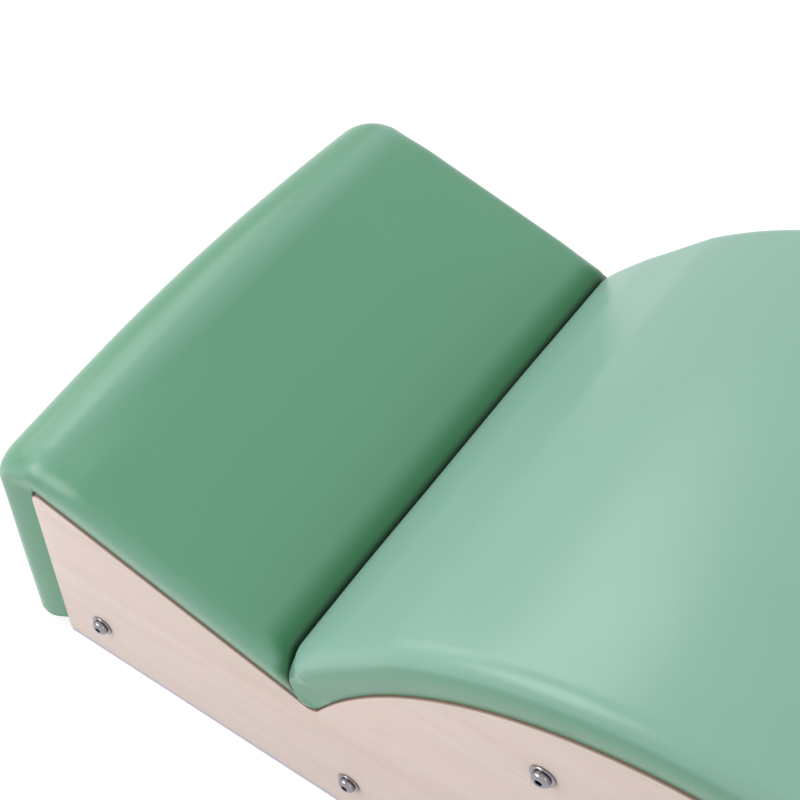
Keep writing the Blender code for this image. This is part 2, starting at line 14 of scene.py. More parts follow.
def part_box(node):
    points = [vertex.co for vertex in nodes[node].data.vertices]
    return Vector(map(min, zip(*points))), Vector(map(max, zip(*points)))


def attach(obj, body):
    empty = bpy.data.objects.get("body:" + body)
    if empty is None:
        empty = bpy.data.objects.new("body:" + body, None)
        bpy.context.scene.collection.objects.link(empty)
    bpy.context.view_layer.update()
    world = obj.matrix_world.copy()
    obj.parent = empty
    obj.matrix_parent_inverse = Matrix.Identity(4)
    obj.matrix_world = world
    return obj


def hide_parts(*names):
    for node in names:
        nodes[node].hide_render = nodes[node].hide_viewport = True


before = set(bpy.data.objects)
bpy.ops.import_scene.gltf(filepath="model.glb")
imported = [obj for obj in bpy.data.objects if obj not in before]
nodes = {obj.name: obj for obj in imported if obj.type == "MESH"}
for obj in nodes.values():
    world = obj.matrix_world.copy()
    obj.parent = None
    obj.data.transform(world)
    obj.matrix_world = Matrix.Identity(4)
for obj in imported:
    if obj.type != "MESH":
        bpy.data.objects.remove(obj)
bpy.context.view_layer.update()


# Camera
# A camera held level sideways, above the near side, looks down across the step and the valley.

bpy.context.scene.view_settings.view_transform = "Standard"
lens = bpy.data.cameras.new("camera")
lens.sensor_width = 36.0
lens.lens = 67.82
camera = bpy.data.objects.new("camera", lens)
camera.location = (0.16685, -0.64935, 1.11516)
camera.rotation_euler = [math.radians(turn) for turn in (40.264, 0.0, 34.207)]
bpy.context.scene.collection.objects.link(camera)
bpy.context.scene.camera = camera


# Floor and studio
# A seamless white sweep. It shows white to the camera and in reflections, and keeps a soft
# shadow where the object stands.

def colour(shade):
    """Turns a hexadecimal sRGB colour into linear red, green, blue and alpha."""
    parts = [int(shade[i:i + 2], 16) / 255 for i in (0, 2, 4)]
    return [p / 12.92 if p <= 0.04045 else ((p + 0.055) / 1.055) ** 2.4 for p in parts] + [1.0]


def add(tree, kind, inputs, **settings):
    """Adds a node: each input is a plain value or the output of another node."""
    node = tree.nodes.new(kind)
    for key, value in settings.items():
        setattr(node, key, value)
    for key, value in inputs.items():
        if isinstance(value, bpy.types.NodeSocket):
            tree.links.new(value, node.inputs[key])
        else:
            node.inputs[key].default_value = value
    return node


def white_to_camera(tree, shown, other):
    """One shader for the camera and for reflections, and another for the light on things."""
    rays = add(tree, "ShaderNodeLightPath", {})
    seen = add(tree, "ShaderNodeMath", {0: rays.outputs["Is Camera Ray"],
                                        1: rays.outputs["Is Glossy Ray"]}, operation="MAXIMUM")
    seen = add(tree, "ShaderNodeMath", {0: seen.outputs[0],
                                        1: rays.outputs["Is Transmission Ray"]}, operation="MAXIMUM")
    return add(tree, "ShaderNodeMixShader", {0: seen.outputs[0], 1: other, 2: shown}).outputs[0]


WORLD_LIGHT = 0.71
world = bpy.data.worlds.new("studio")
bpy.context.scene.world = world
world.use_nodes = True
tree = world.node_tree
tree.nodes.clear()
backdrop = add(tree, "ShaderNodeBackground", {"Color": colour("FFFFFF"), "Strength": 1.0})
ambient = add(tree, "ShaderNodeBackground", {"Color": colour("F4F6FA"), "Strength": WORLD_LIGHT})
surface = white_to_camera(tree, backdrop.outputs[0], ambient.outputs[0])
add(tree, "ShaderNodeOutputWorld", {"Surface": surface})

FLOOR_SIZE = 12.0
SHADOW_SHARE = 0.30
PAPER_GLOW = 1.12
bm = bmesh.new()
bmesh.ops.create_grid(bm, x_segments=1, y_segments=1, size=FLOOR_SIZE / 2)
mesh = bpy.data.meshes.new("floor")
bm.to_mesh(mesh)
bm.free()
floor = bpy.data.objects.new("floor", mesh)
bpy.context.scene.collection.objects.link(floor)
paper = bpy.data.materials.new("white_paper_sweep")
paper.use_nodes = True
tree = paper.node_tree
tree.nodes.clear()
matt = add(tree, "ShaderNodeBsdfDiffuse", {"Color": colour("F2F2F2")})
glow = add(tree, "ShaderNodeEmission", {"Color": colour("FFFFFF"), "Strength": PAPER_GLOW})
shown = add(tree, "ShaderNodeMixShader", {0: SHADOW_SHARE, 1: glow.outputs[0], 2: matt.outputs[0]})
surface = white_to_camera(tree, shown.outputs[0], matt.outputs[0])
add(tree, "ShaderNodeOutputMaterial", {"Surface": surface})
floor.data.materials.append(paper)

LAMP_AIM = Vector((-0.05, 0.0, 0.15))
LAMP_SIZE = 1.2


def lamp(name, place, watts):
    """A square soft box that shines from a place at the object."""
    data = bpy.data.lights.new(name, "AREA")
    data.size = LAMP_SIZE
    data.energy = watts
    light = bpy.data.objects.new(name, data)
    light.location = place
    light.rotation_euler = (Vector(place) - LAMP_AIM).to_track_quat("Z", "Y").to_euler()
    bpy.context.scene.collection.objects.link(light)


lamp("soft_box_front_left", (-1.489, -1.439, 1.422), 23.2)
lamp("soft_box_back_left", (-1.666, 0.754, 1.756), 16.0)
lamp("soft_box_low_left", (-2.427, 0.0, 1.034), 8.8)
lamp("soft_box_right", (1.734, 0.0, 1.756), 11.6)
lamp("soft_box_back_right", (2.008, 1.188, 1.034), 9.9)


# Side panels
# Two sheets of 18 mm birch plywood, cut to one outline with a router, their edges eased and the
# faces lacquered. Every other piece follows this outline.

WIDTH = 0.480
PANEL = 0.018
PLIES = 13
STEP_HEIGHT = 0.1916
STEP_SLOPE = math.radians(15.3)
ARC_RADIUS = 0.340
PANEL_CORNER = 0.008
VALLEY_FILLET = 0.010
EASED = 0.0007
PLY_MARGIN = 0.1
BOLT = 0.008
FIT = 0.0003

panel_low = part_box("side_panel_right")[0]
FOOT = Vector((panel_low.x, panel_low.z))
ARC_CENTRE = FOOT + Vector((0.5682, -0.0336))
ALONG = Vector((math.cos(STEP_SLOPE), -math.sin(STEP_SLOPE)))
OFF = Vector((math.sin(STEP_SLOPE), math.cos(STEP_SLOPE)))
TAN = math.tan(STEP_SLOPE)
SIDES = {"left": 1, "right": -1}


def slope_point(x, lift=0.0):
    """The point over the step's edge at x from its end, raised square to the edge by lift."""
    return FOOT + Vector((x, STEP_HEIGHT + lift / OFF.y - TAN * x))


def arc_point(angle, lift=0.0):
    """The point over the barrel's arc at an angle, raised square to it by lift."""
    return ARC_CENTRE + Vector((math.cos(angle), math.sin(angle))) * (ARC_RADIUS + lift)


def slope_lift(point):
    return (point - slope_point(0)).dot(OFF)


def arc_lift(point):
    return (point - ARC_CENTRE).length - ARC_RADIUS


def arc_angle(point):
    return math.atan2(point.y - ARC_CENTRE.y, point.x - ARC_CENTRE.x)


def angle_at_height(height, lift=0.0):
    """The angle at which the arc's far side, raised by lift, is at a height over the foot."""
    return math.asin((height + FOOT.y - ARC_CENTRE.y) / (ARC_RADIUS + lift))


def valley(lift=0.0):
    """Where the step's edge meets the arc, both raised by lift."""
    middle = ARC_CENTRE - slope_point(0, lift)
    along = middle.dot(ALONG)
    return slope_point(0, lift) + ALONG * (along - math.sqrt(
        (ARC_RADIUS + lift) ** 2 - middle.length_squared + along ** 2))


def spread(start, end, steps):
    return [start + (end - start) * i / steps for i in range(steps + 1)]


def turn_about(centre, radius, start, end, steps):
    """Points round a centre from one angle to another."""
    return [centre + Vector((math.cos(a), math.sin(a))) * radius for a in spread(start, end, steps)]


def fillet(a, b, c, radius, steps):
    """The corner at b, between edges from a and to c, rounded to a radius."""
    u = (a - b).normalized()
    v = (c - b).normalized()
    half = math.acos(u.dot(v)) / 2
    centre = b + (u + v).normalized() * (radius / math.sin(half))
    first = b + u * (radius / math.tan(half)) - centre
    last = b + v * (radius / math.tan(half)) - centre
    start = math.atan2(first.y, first.x)
    return turn_about(centre, radius, start, start + math.atan2(first.cross(last), first.dot(last)), steps)


def valley_fillet(lift=0.0, steps=8):
    """The rounded bottom of the valley, from the step's edge to the arc, raised by lift."""
    centre = valley(VALLEY_FILLET)
    on_arc = ARC_CENTRE - centre
    start = math.atan2(-OFF.y, -OFF.x)
    return turn_about(centre, VALLEY_FILLET - lift, start, math.atan2(on_arc.y, on_arc.x), steps)


def sawn(outline, low, high, eased):
    """A board sawn to an outline in the X-Z plane, from y = low to high, with eased edges."""
    bm = bmesh.new()
    face = bm.faces.new([bm.verts.new((p.x, low, p.y)) for p in outline])
    grown = bmesh.ops.extrude_face_region(bm, geom=[face])["geom"]
    moved = [v for v in grown if isinstance(v, bmesh.types.BMVert)]
    bmesh.ops.translate(bm, verts=moved, vec=(0, high - low, 0))
    bmesh.ops.recalc_face_normals(bm, faces=bm.faces)
    sharp = [e for e in bm.edges if e.calc_face_angle() > math.radians(40)]
    bmesh.ops.bevel(bm, geom=sharp, offset=eased, segments=2, profile=0.5, affect="EDGES", material=-1)
    return bm


def keep(name, bm, material, slot, *replaced, sharp=35):
    """Ends a bmesh as a piece that rides with the frame and stands for its CAD nodes."""
    mesh = bpy.data.meshes.new(name)
    bm.to_mesh(mesh)
    bm.free()
    mesh.shade_smooth()
    mesh.set_sharp_from_angle(angle=math.radians(sharp))
    mesh.materials.append(material)
    piece = bpy.data.objects.new(name, mesh)
    bpy.context.scene.collection.objects.link(piece)
    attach(piece, "root")
    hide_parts(*replaced)
    return piece


def drill(piece, holes):
    """Drills holes along Y: each has a centre in the X-Z plane, two heights and a radius."""
    bm = bmesh.new()
    for centre, low, high, radius in holes:
        middle = Matrix.Translation((centre.x, (low + high) / 2, centre.y))
        bmesh.ops.create_cone(bm, cap_ends=True, segments=48, radius1=radius, radius2=radius,
                              depth=high - low, matrix=middle @ Matrix.Rotation(math.pi / 2, 4, "X"))
    mesh = bpy.data.meshes.new("drill")
    bm.to_mesh(mesh)
    bm.free()
    cutter = bpy.data.objects.new("drill", mesh)
    bpy.context.scene.collection.objects.link(cutter)
    cut = piece.modifiers.new("holes", "BOOLEAN")
    cut.operation = "DIFFERENCE"
    cut.object = cutter
    bpy.context.view_layer.update()
    shaped = piece.evaluated_get(bpy.context.evaluated_depsgraph_get())
    piece.data = bpy.data.meshes.new_from_object(shaped)
    piece.modifiers.clear()
    bpy.data.objects.remove(cutter)


def mark_plies(piece, depth, plies):
    """Stores how deep each point lies in the plywood, as a count of plies."""
    values = piece.data.attributes.new("ply", "FLOAT", "POINT").data
    for vertex, value in zip(piece.data.vertices, values):
        share = max(0.0, min(1.0, depth(vertex.co)))
        value.value = PLY_MARGIN + share * (plies - 2 * PLY_MARGIN)


def new_finish(name):
    """An empty material with a coated shader. Returns the material, its tree and the shader."""
    material = bpy.data.materials.new(name)
    material.use_nodes = True
    tree = material.node_tree
    tree.nodes.clear()
    shader = add(tree, "ShaderNodeBsdfPrincipled", {})
    add(tree, "ShaderNodeOutputMaterial", {"Surface": shader.outputs[0]})
    return material, tree, shader


def plywood(name, plies, grain_scale_or_painted_light):
    """Lacquered birch plywood. The veneer is pale and faintly streaked along its grain. On the
    sawn edges, dark end grain and pale long grain alternate, ply by ply."""
    material, tree, shader = new_finish(name)
    place = add(tree, "ShaderNodeTexCoord", {}).outputs["Object"]
    grain_way = add(tree, "ShaderNodeMapping", {"Vector": place, "Scale": grain_scale_or_painted_light}).outputs[0]
    # Fine fibres are about 1 mm apart, and the broad figure is about 30 mm across.
    fibre = add(tree, "ShaderNodeTexNoise", {"Vector": grain_way, "Scale": 420.0, "Detail": 5.0,
                                             "Roughness": 0.6, "Distortion": 0.3}).outputs[0]
    figure = add(tree, "ShaderNodeTexNoise", {"Vector": grain_way, "Scale": 34.0, "Detail": 3.0,
                                              "Distortion": 1.2}).outputs[0]
    blush = add(tree, "ShaderNodeTexNoise", {"Vector": place, "Scale": 6.0}).outputs[0]
    pale = add(tree, "ShaderNodeMix", {0: blush, 6: colour("D3C2BB"), 7: colour("D1BFB4")},
               data_type="RGBA").outputs[2]
    streak = add(tree, "ShaderNodeMapRange", {"Value": figure, 1: 0.35, 2: 0.75, 4: 0.6}).outputs[0]
    pale = add(tree, "ShaderNodeMix", {0: streak, 6: pale, 7: colour("C7B3A8")},
               data_type="RGBA").outputs[2]
    line = add(tree, "ShaderNodeMapRange", {"Value": fibre, 1: 0.52, 2: 0.78, 4: 0.25}).outputs[0]
    pale = add(tree, "ShaderNodeMix", {0: line, 6: pale, 7: colour("B69C8C")},
               data_type="RGBA").outputs[2]
    depth = add(tree, "ShaderNodeAttribute", {}, attribute_name="ply").outputs["Fac"]
    layer = add(tree, "ShaderNodeMath", {0: depth}, operation="FLOOR").outputs[0]
    cross = add(tree, "ShaderNodeMath", {0: layer, 1: 2.0}, operation="MODULO").outputs[0]
    end_grain = add(tree, "ShaderNodeMix", {0: fibre, 6: colour("93766A"), 7: colour("7A5E54")},
                    data_type="RGBA").outputs[2]
    long_grain = add(tree, "ShaderNodeMix", {0: fibre, 6: colour("B79D91"), 7: colour("A08578")},
                     data_type="RGBA").outputs[2]
    sawn_edge = add(tree, "ShaderNodeMix", {0: cross, 6: long_grain, 7: end_grain},
                    data_type="RGBA").outputs[2]
    off_middle = add(tree, "ShaderNodeMath", {0: depth, 1: plies / 2}, operation="SUBTRACT").outputs[0]
    off_middle = add(tree, "ShaderNodeMath", {0: off_middle}, operation="ABSOLUTE").outputs[0]
    on_edge = add(tree, "ShaderNodeMapRange", {"Value": off_middle, 1: plies / 2 - 0.35,
                                               2: plies / 2 - 0.15, 3: 1.0, 4: 0.0}).outputs[0]
    wood = add(tree, "ShaderNodeMix", {0: on_edge, 6: pale, 7: sawn_edge}, data_type="RGBA").outputs[2]
    tree.links.new(wood, shader.inputs["Base Color"])
    rough = add(tree, "ShaderNodeMapRange", {"Value": fibre, 3: 0.42, 4: 0.55}).outputs[0]
    tree.links.new(rough, shader.inputs["Roughness"])
    bump = add(tree, "ShaderNodeBump", {"Height": fibre, "Strength": 0.25, "Distance": 0.0002})
    tree.links.new(bump.outputs[0], shader.inputs["Normal"])
    return material


panel_plywood = plywood("lacquered_birch_plywood", PLIES, (0.06, 1.0, 1.0))
panel_outline = [FOOT.copy()] + fillet(FOOT, slope_point(0), valley(), PANEL_CORNER, 10)
dip = valley_fillet()
panel_outline += dip + [arc_point(a) for a in spread(arc_angle(dip[-1]), angle_at_height(0), 160)[1:]]
rail_centres = {}
for label in ("step", "valley", "front", "rear", "far"):
    low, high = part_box(f"{label}_bolt_right")
    rail_centres[label] = Vector(((low.x + high.x) / 2, (low.z + high.z) / 2))
for side, sign in SIDES.items():
    low, high = sorted((sign * (WIDTH / 2 - PANEL), sign * WIDTH / 2))
    name = f"side_panel_{side}"
    panel = keep(f"{name}_plywood", sawn(panel_outline, low, high, EASED), panel_plywood, "plywood", name)
    drill(panel, [(c, low - PANEL, high + PANEL, BOLT / 2 + FIT) for c in rail_centres.values()])
    mark_plies(panel, lambda p: (WIDTH / 2 - abs(p.y)) / PANEL, PLIES)


# Anti-slip strips
# A pale grey strip of foamed rubber under each panel, stuck on, a little narrower than the wood.

GRIP_CORNER = 0.0008
rubber, tree, shader = new_finish("pale_foamed_rubber")
place = add(tree, "ShaderNodeTexCoord", {}).outputs["Object"]
pores = add(tree, "ShaderNodeTexNoise", {"Vector": place, "Scale": 900.0, "Detail": 3.0}).outputs[0]
grey = add(tree, "ShaderNodeMix", {0: pores, 6: colour("C9C3CC"), 7: colour("A8A2AE")}, data_type="RGBA")
tree.links.new(grey.outputs[2], shader.inputs["Base Color"])
shader.inputs["Roughness"].default_value = 0.85
bump = add(tree, "ShaderNodeBump", {"Height": pores, "Strength": 0.4, "Distance": 0.0004})
tree.links.new(bump.outputs[0], shader.inputs["Normal"])
for side in SIDES:
    low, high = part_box(f"grip_strip_{side}")
    strip = [Vector(c) for c in ((low.x, low.z), (high.x, low.z), (high.x, high.z), (low.x, high.z))]
    keep(f"grip_strip_{side}_rubber", sawn(strip, low.y, high.y, GRIP_CORNER), rubber, "grip_strip",
         f"grip_strip_{side}")


# Rails
# Five square beech rails between the panels, planed on four sides, with their edges eased.

RAIL = 0.040
UPPER_TILT = math.radians(24.1)
INSERT_HOLE = 0.0063
INSERT_SEAT = 0.0256
BOLT_ROOM = 0.0445
RAIL_EASED = 0.0015
beech, tree, shader = new_finish("planed_beech")
place = add(tree, "ShaderNodeTexCoord", {}).outputs["Object"]
# Beech has short dark flecks 2 to 4 mm long, in a warm even ground.
long_way = add(tree, "ShaderNodeMapping", {"Vector": place, "Scale": (1.0, 0.12, 1.0)}).outputs[0]
rings = add(tree, "ShaderNodeTexNoise", {"Vector": long_way, "Scale": 90.0, "Detail": 4.0,
                                         "Distortion": 0.6}).outputs[0]
flecks = add(tree, "ShaderNodeTexVoronoi", {"Vector": long_way, "Scale": 900.0}).outputs["Distance"]
warm = add(tree, "ShaderNodeMix", {0: rings, 6: colour("D4AE84"), 7: colour("BC916A")}, data_type="RGBA")
fleck = add(tree, "ShaderNodeMapRange", {"Value": flecks, 1: 0.05, 2: 0.22, 3: 0.55, 4: 0.0}).outputs[0]
flecked = add(tree, "ShaderNodeMix", {0: fleck, 6: warm.outputs[2], 7: colour("8E6443")}, data_type="RGBA")
tree.links.new(flecked.outputs[2], shader.inputs["Base Color"])
shader.inputs["Roughness"].default_value = 0.5
bump = add(tree, "ShaderNodeBump", {"Height": rings, "Strength": 0.2, "Distance": 0.0003})
tree.links.new(bump.outputs[0], shader.inputs["Normal"])
tilts = {"front": UPPER_TILT, "rear": -UPPER_TILT}
for label, centre in rail_centres.items():
    low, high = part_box(f"{label}_rail")
    turn = Matrix.Rotation(tilts.get(label, 0.0), 2)
    square = [centre + turn @ Vector(c) * (RAIL / 2) for c in ((-1, -1), (1, -1), (1, 1), (-1, 1))]
    rail = keep(f"{label}_rail_beech", sawn(square, low.y, high.y, RAIL_EASED), beech, "timber",
                f"{label}_rail")
    holes = []
    for end, sign in ((high.y, 1), (low.y, -1)):
        for depth, radius in ((INSERT_SEAT, INSERT_HOLE), (BOLT_ROOM, BOLT / 2 + FIT)):
            near, far = sorted((end + sign * RAIL, end - sign * depth))
            holes.append((centre, near, far, radius))
    drill(rail, holes[::2])
    drill(rail, holes[1::2])


# Bolts, washers and inserts
# M8 dome-head bolts of polished stainless steel, with a hexagon socket, each on a washer. They
# screw into brass inserts in the ends of the rails.

BOLT_LENGTH = 0.060
BOLT_TIP = 0.001
PLAIN_SHANK = 0.018
HEAD = 0.0142
HEAD_HEIGHT = 0.0046
HEAD_RIM = 0.0014
SOCKET = 0.005
SOCKET_DEPTH = 0.0028
WASHER = 0.0196
WASHER_THICKNESS = 0.0015
WASHER_EDGE = 0.0003
THREAD_PITCH = 0.00125
THREAD_DEPTH = 0.0007
THREADS = 31
ROUND = 48


def ringed(rings, closed=True):
    """A piece turned about Z: each ring has a height and a radius, or a radius at an angle."""
    bm = bmesh.new()
    loops = []
    for height, radius in rings:
        level = Matrix.Translation((0, 0, height))
        made = bmesh.ops.create_circle(bm, segments=ROUND, radius=1.0, matrix=level)
        for v in made["verts"]:
            reach = radius(math.atan2(v.co.y, v.co.x)) if callable(radius) else radius
            v.co.x *= reach
            v.co.y *= reach
        loops.append(list({e for v in made["verts"] for e in v.link_edges}))
    for lower, upper in zip(loops, loops[1:] + ([] if closed else loops[:1])):
        bmesh.ops.bridge_loops(bm, edges=lower + upper)
    if closed:
        bmesh.ops.holes_fill(bm, edges=loops[0] + loops[-1], sides=0)
    bmesh.ops.recalc_face_normals(bm, faces=bm.faces)
    return bm


def hexagon(size):
    """The reach of a hexagon's edge at an angle, from its size across the flats."""
    return lambda a: size / 2 / math.cos((a + math.pi / 6) % (math.pi / 3) - math.pi / 6)


def polished(name, shade, roughness):
    """Polished metal: clear reflections, with the faint brushing of a turned surface."""
    material, tree, shader = new_finish(name)
    place = add(tree, "ShaderNodeTexCoord", {}).outputs["Object"]
    marks = add(tree, "ShaderNodeTexNoise", {"Vector": place, "Scale": 1500.0, "Detail": 3.0}).outputs[0]
    shader.inputs["Base Color"].default_value = colour(shade)
    shader.inputs["Metallic"].default_value = 1.0
    rough = add(tree, "ShaderNodeMapRange", {"Value": marks, 3: roughness * 0.7, 4: roughness * 1.4})
    tree.links.new(rough.outputs[0], shader.inputs["Roughness"])
    return material


stainless = polished("polished_stainless_steel", "96949A", 0.18)
# The socket's faces are a dark steel: painted shade for the recess.
socket_painted_shade = polished("socket_painted_shade_steel", "2A2A2D", 0.4)
brass = polished("turned_brass", "C9A24E", 0.3)
root_radius = BOLT / 2 - THREAD_DEPTH
bolt_rings = [(-BOLT_LENGTH, root_radius * 0.8), (-BOLT_LENGTH + BOLT_TIP, root_radius)]
for i in range(1, THREADS + 1):
    z = -BOLT_LENGTH + BOLT_TIP + i * THREAD_PITCH
    bolt_rings += [(z - THREAD_PITCH / 2, BOLT / 2), (z, root_radius)]
head = HEAD / 2
bolt_rings += [(-PLAIN_SHANK, BOLT / 2), (0, BOLT / 2), (0, head * 0.97), (0.0002, head), (0.0010, head)]
bolt_rings += [(HEAD_RIM + (HEAD_HEIGHT - HEAD_RIM) * math.sin(a), head * (0.46 + 0.53 * math.cos(a)))
               for a in spread(0.06, math.pi / 2, 10)]
bolt_rings += [(HEAD_HEIGHT - 0.0001, SOCKET / 2 + 0.0009), (HEAD_HEIGHT - 0.0004, hexagon(SOCKET + 0.0003)),
               (HEAD_HEIGHT - 0.0006, hexagon(SOCKET)), (HEAD_HEIGHT - SOCKET_DEPTH, hexagon(SOCKET)),
               (HEAD_HEIGHT - SOCKET_DEPTH - 0.0006, SOCKET * 0.2)]
bore = BOLT / 2 + FIT
rim = WASHER / 2
washer_rings = [(0.0, bore), (0.0, rim - WASHER_EDGE), (WASHER_EDGE, rim), (WASHER_THICKNESS - 0.0005, rim),
                (WASHER_THICKNESS - 0.0001, rim - WASHER_EDGE), (WASHER_THICKNESS, rim - 0.0008),
                (WASHER_THICKNESS, bore)]
for side, sign in SIDES.items():
    outward = Matrix.Rotation(-sign * math.pi / 2, 4, "X")
    for label, centre in rail_centres.items():
        under_head = WIDTH / 2 + FIT + WASHER_THICKNESS + FIT
        for kind, rings, y, closed in (("bolt", bolt_rings, under_head, True),
                                       ("washer", washer_rings, WIDTH / 2 + FIT, False)):
            bm = ringed(rings, closed)
            place = Matrix.Translation((centre.x, sign * y, centre.y)) @ outward
            bmesh.ops.transform(bm, matrix=place, verts=bm.verts)
            node = f"{label}_{kind}_{side}"
            piece = keep(f"{node}_steel", bm, stainless, "stainless", node)
            if kind == "bolt":
                # Faces inside the socket get the painted shade.
                piece.data.materials.append(socket_painted_shade)
                for face in piece.data.polygons:
                    off_axis = (Vector((face.center.x, face.center.z)) - centre).length
                    in_head = abs(face.center.y) > under_head + HEAD_HEIGHT - SOCKET_DEPTH - 0.001
                    if in_head and off_axis < SOCKET * 0.56:
                        face.material_index = 1
        insert = nodes[f"{label}_insert_{side}"]
        insert.data.materials.clear()
        insert.data.materials.append(brass)


# Boards under the pads
# 12 mm plywood: a top and an end board under the step pad, and one bent to the arc under the
# barrel pad.

BOARD = 0.012
BOARD_PLIES = 9
BOARD_EASED = 0.0008
BOARD_FOOT = 0.018
BOARD_CORNER = 0.015
STEP_BOARD_SETBACK = 0.030
BARREL_BOARD_SETBACK = 0.004
HEM_ROUND = 0.0025

board_plywood = plywood("raw_birch_plywood", BOARD_PLIES, (1.0, 0.06, 1.0))
face = FIT + BOARD
board_end = slope_point(0) + ALONG * ((valley() - slope_point(0)).dot(ALONG) - STEP_BOARD_SETBACK / ALONG.x)
deep = arc_point(arc_angle(valley_fillet()[-1]) - HEM_ROUND / ARC_RADIUS, FIT)
bent = spread(arc_angle(deep) - BARREL_BOARD_SETBACK / ARC_RADIUS, angle_at_height(BOARD_FOOT), 120)
# The step's two boards share one rounded outer corner.
corner = slope_point(BOARD_CORNER - face, face - BOARD_CORNER)


def corner_at(lift):
    """The angle at which the boards' rounded corner is over the step's edge by lift."""
    return math.atan2(OFF.y, OFF.x) + math.acos((lift - face + BOARD_CORNER) / BOARD_CORNER)


outlines = {
    "step_top_board": [board_end + OFF * face, board_end + OFF * FIT]
                      + turn_about(corner, BOARD_CORNER, corner_at(FIT), corner_at(face), 10),
    "step_end_board": [FOOT + Vector((-face, BOARD_FOOT)), FOOT + Vector((-FIT, BOARD_FOOT)),
                       slope_point(-FIT)] + turn_about(corner, BOARD_CORNER, corner_at(0), math.pi, 5),
    "barrel_board": [arc_point(a, FIT) for a in bent] + [arc_point(a, face) for a in bent[::-1]],
}
depths = {
    "step_top_board": lambda p: (slope_lift(Vector((p.x, p.z))) - FIT) / BOARD,
    "step_end_board": lambda p: (FOOT.x - FIT - p.x) / BOARD,
    "barrel_board": lambda p: (arc_lift(Vector((p.x, p.z))) - FIT) / BOARD,
}
for name, outline in outlines.items():
    low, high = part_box(name)
    board = keep(f"{name}_plywood", sawn(outline, low.y, high.y, BOARD_EASED), board_plywood, "plywood", name)
    mark_plies(board, depths[name], BOARD_PLIES)


# Cleats, ribs and screws
# Strips of plywood inside each panel, which carry the boards, and the pan-head screws that go up
# through them.

CLEAT = 0.020
CLEAT_INSET = 0.024
CLEAT_SPACE = 0.004
END_CLEAT_LENGTH = 0.085
CLEAT_PLIES = 15
RIB_START = math.radians(25)
RIB_END = math.radians(146)
RIB_SCREW_TILT = math.radians(36)
SCREW = 0.0045
SCREW_HEAD = 0.009
SCREW_HEAD_HEIGHT = 0.0025
SCREW_LENGTH = 0.0276
SCREW_PITCH = 0.0018
SCREW_THREADS = 13
SCREW_CROWN = 0.0026
RECESS = 0.0021
RECESS_FLOOR = 0.0016

cleat_plywood = plywood("raw_birch_plywood_strip", CLEAT_PLIES, (0.1, 1.0, 0.3))
under = slope_point(CLEAT_INSET) - OFF * CLEAT
cleat_end = (valley() - FOOT).x - STEP_BOARD_SETBACK - CLEAT
cleat_top = under.y - CLEAT_SPACE
sweep = spread(RIB_END, RIB_START, 110)
strips = {
    "step_cleat": [slope_point(CLEAT_INSET), slope_point(cleat_end),
                   slope_point(cleat_end) - OFF * CLEAT, under],
    "end_cleat": [Vector((FOOT.x + x, z)) for x, z in ((0, cleat_top - END_CLEAT_LENGTH),
                  (CLEAT, cleat_top - END_CLEAT_LENGTH), (CLEAT, cleat_top), (0, cleat_top))],
    "barrel_rib": [arc_point(a) for a in sweep] + [arc_point(a, -CLEAT) for a in sweep[::-1]],
}


def cross(size):
    """The reach of a cross-shaped recess at an angle."""
    return lambda a: size * (0.32 + 0.68 * max(0.0, math.cos(2 * a) ** 2 - 0.45) / 0.55)


zinc = polished("zinc_plated_steel", "B9BCC0", 0.32)
screw_rings = [(-SCREW_HEAD_HEIGHT + 0.0016, 0.0004), (-SCREW_HEAD_HEIGHT + 0.0014, cross(RECESS_FLOOR)),
               (-SCREW_HEAD_HEIGHT, cross(RECESS))]
screw_rings += [(-SCREW_HEAD_HEIGHT * math.cos(a),
                 SCREW_CROWN + (SCREW_HEAD / 2 - SCREW_CROWN) * math.sin(a))
                for a in spread(0.0, math.pi / 2, 6)]
screw_rings += [(0.0, SCREW / 2 * 0.7)]
for i in range(1, SCREW_THREADS + 1):
    z = i * SCREW_PITCH
    screw_rings += [(z - SCREW_PITCH / 2, SCREW / 2), (z, SCREW / 2 * 0.72)]
screw_rings += [(SCREW_LENGTH, 0.0003)]
for side, sign in SIDES.items():
    for name, outline in strips.items():
        low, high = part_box(f"{name}_{side}")
        strip = keep(f"{name}_{side}_plywood", sawn(outline, low.y, high.y, BOARD_EASED), cleat_plywood,
                     "plywood", f"{name}_{side}")
        mark_plies(strip, lambda p: (abs(p.y) - abs(low.y + high.y) / 2) / CLEAT + 0.5, CLEAT_PLIES)
    lean = (math.pi / 2 + RIB_SCREW_TILT, math.pi / 2 - RIB_SCREW_TILT)
    ways = {f"step_cleat_screw_{side}": OFF, f"end_cleat_screw_{side}": Vector((-1, 0))}
    for i, a in enumerate(lean, 1):
        ways[f"barrel_rib_screw_{i}_{side}"] = Vector((math.cos(a), math.sin(a)))
    for name, way in ways.items():
        low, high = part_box(name)
        direction = Vector((way.x, 0, way.y))
        # The screw's middle is half its whole length from the middle of its head's underside.
        start = (low + high) / 2 - direction * (SCREW_LENGTH - SCREW_HEAD_HEIGHT) / 2
        if name.startswith("end"):
            start = Vector((high.x - SCREW_HEAD_HEIGHT, 0, (low.z + high.z) / 2))
        start.y = (low.y + high.y) / 2
        bm = ringed(screw_rings)
        turn = Vector((0, 0, 1)).rotation_difference(direction).to_matrix().to_4x4()
        bmesh.ops.transform(bm, matrix=Matrix.Translation(start) @ turn, verts=bm.verts)
        keep(f"{name}_zinc", bm, zinc, "screw_steel", name)


# Pads
# Soft foam glued to the boards, under green coated leather pulled tight over it and stapled
# underneath. The two pads press together at the crease above the valley.

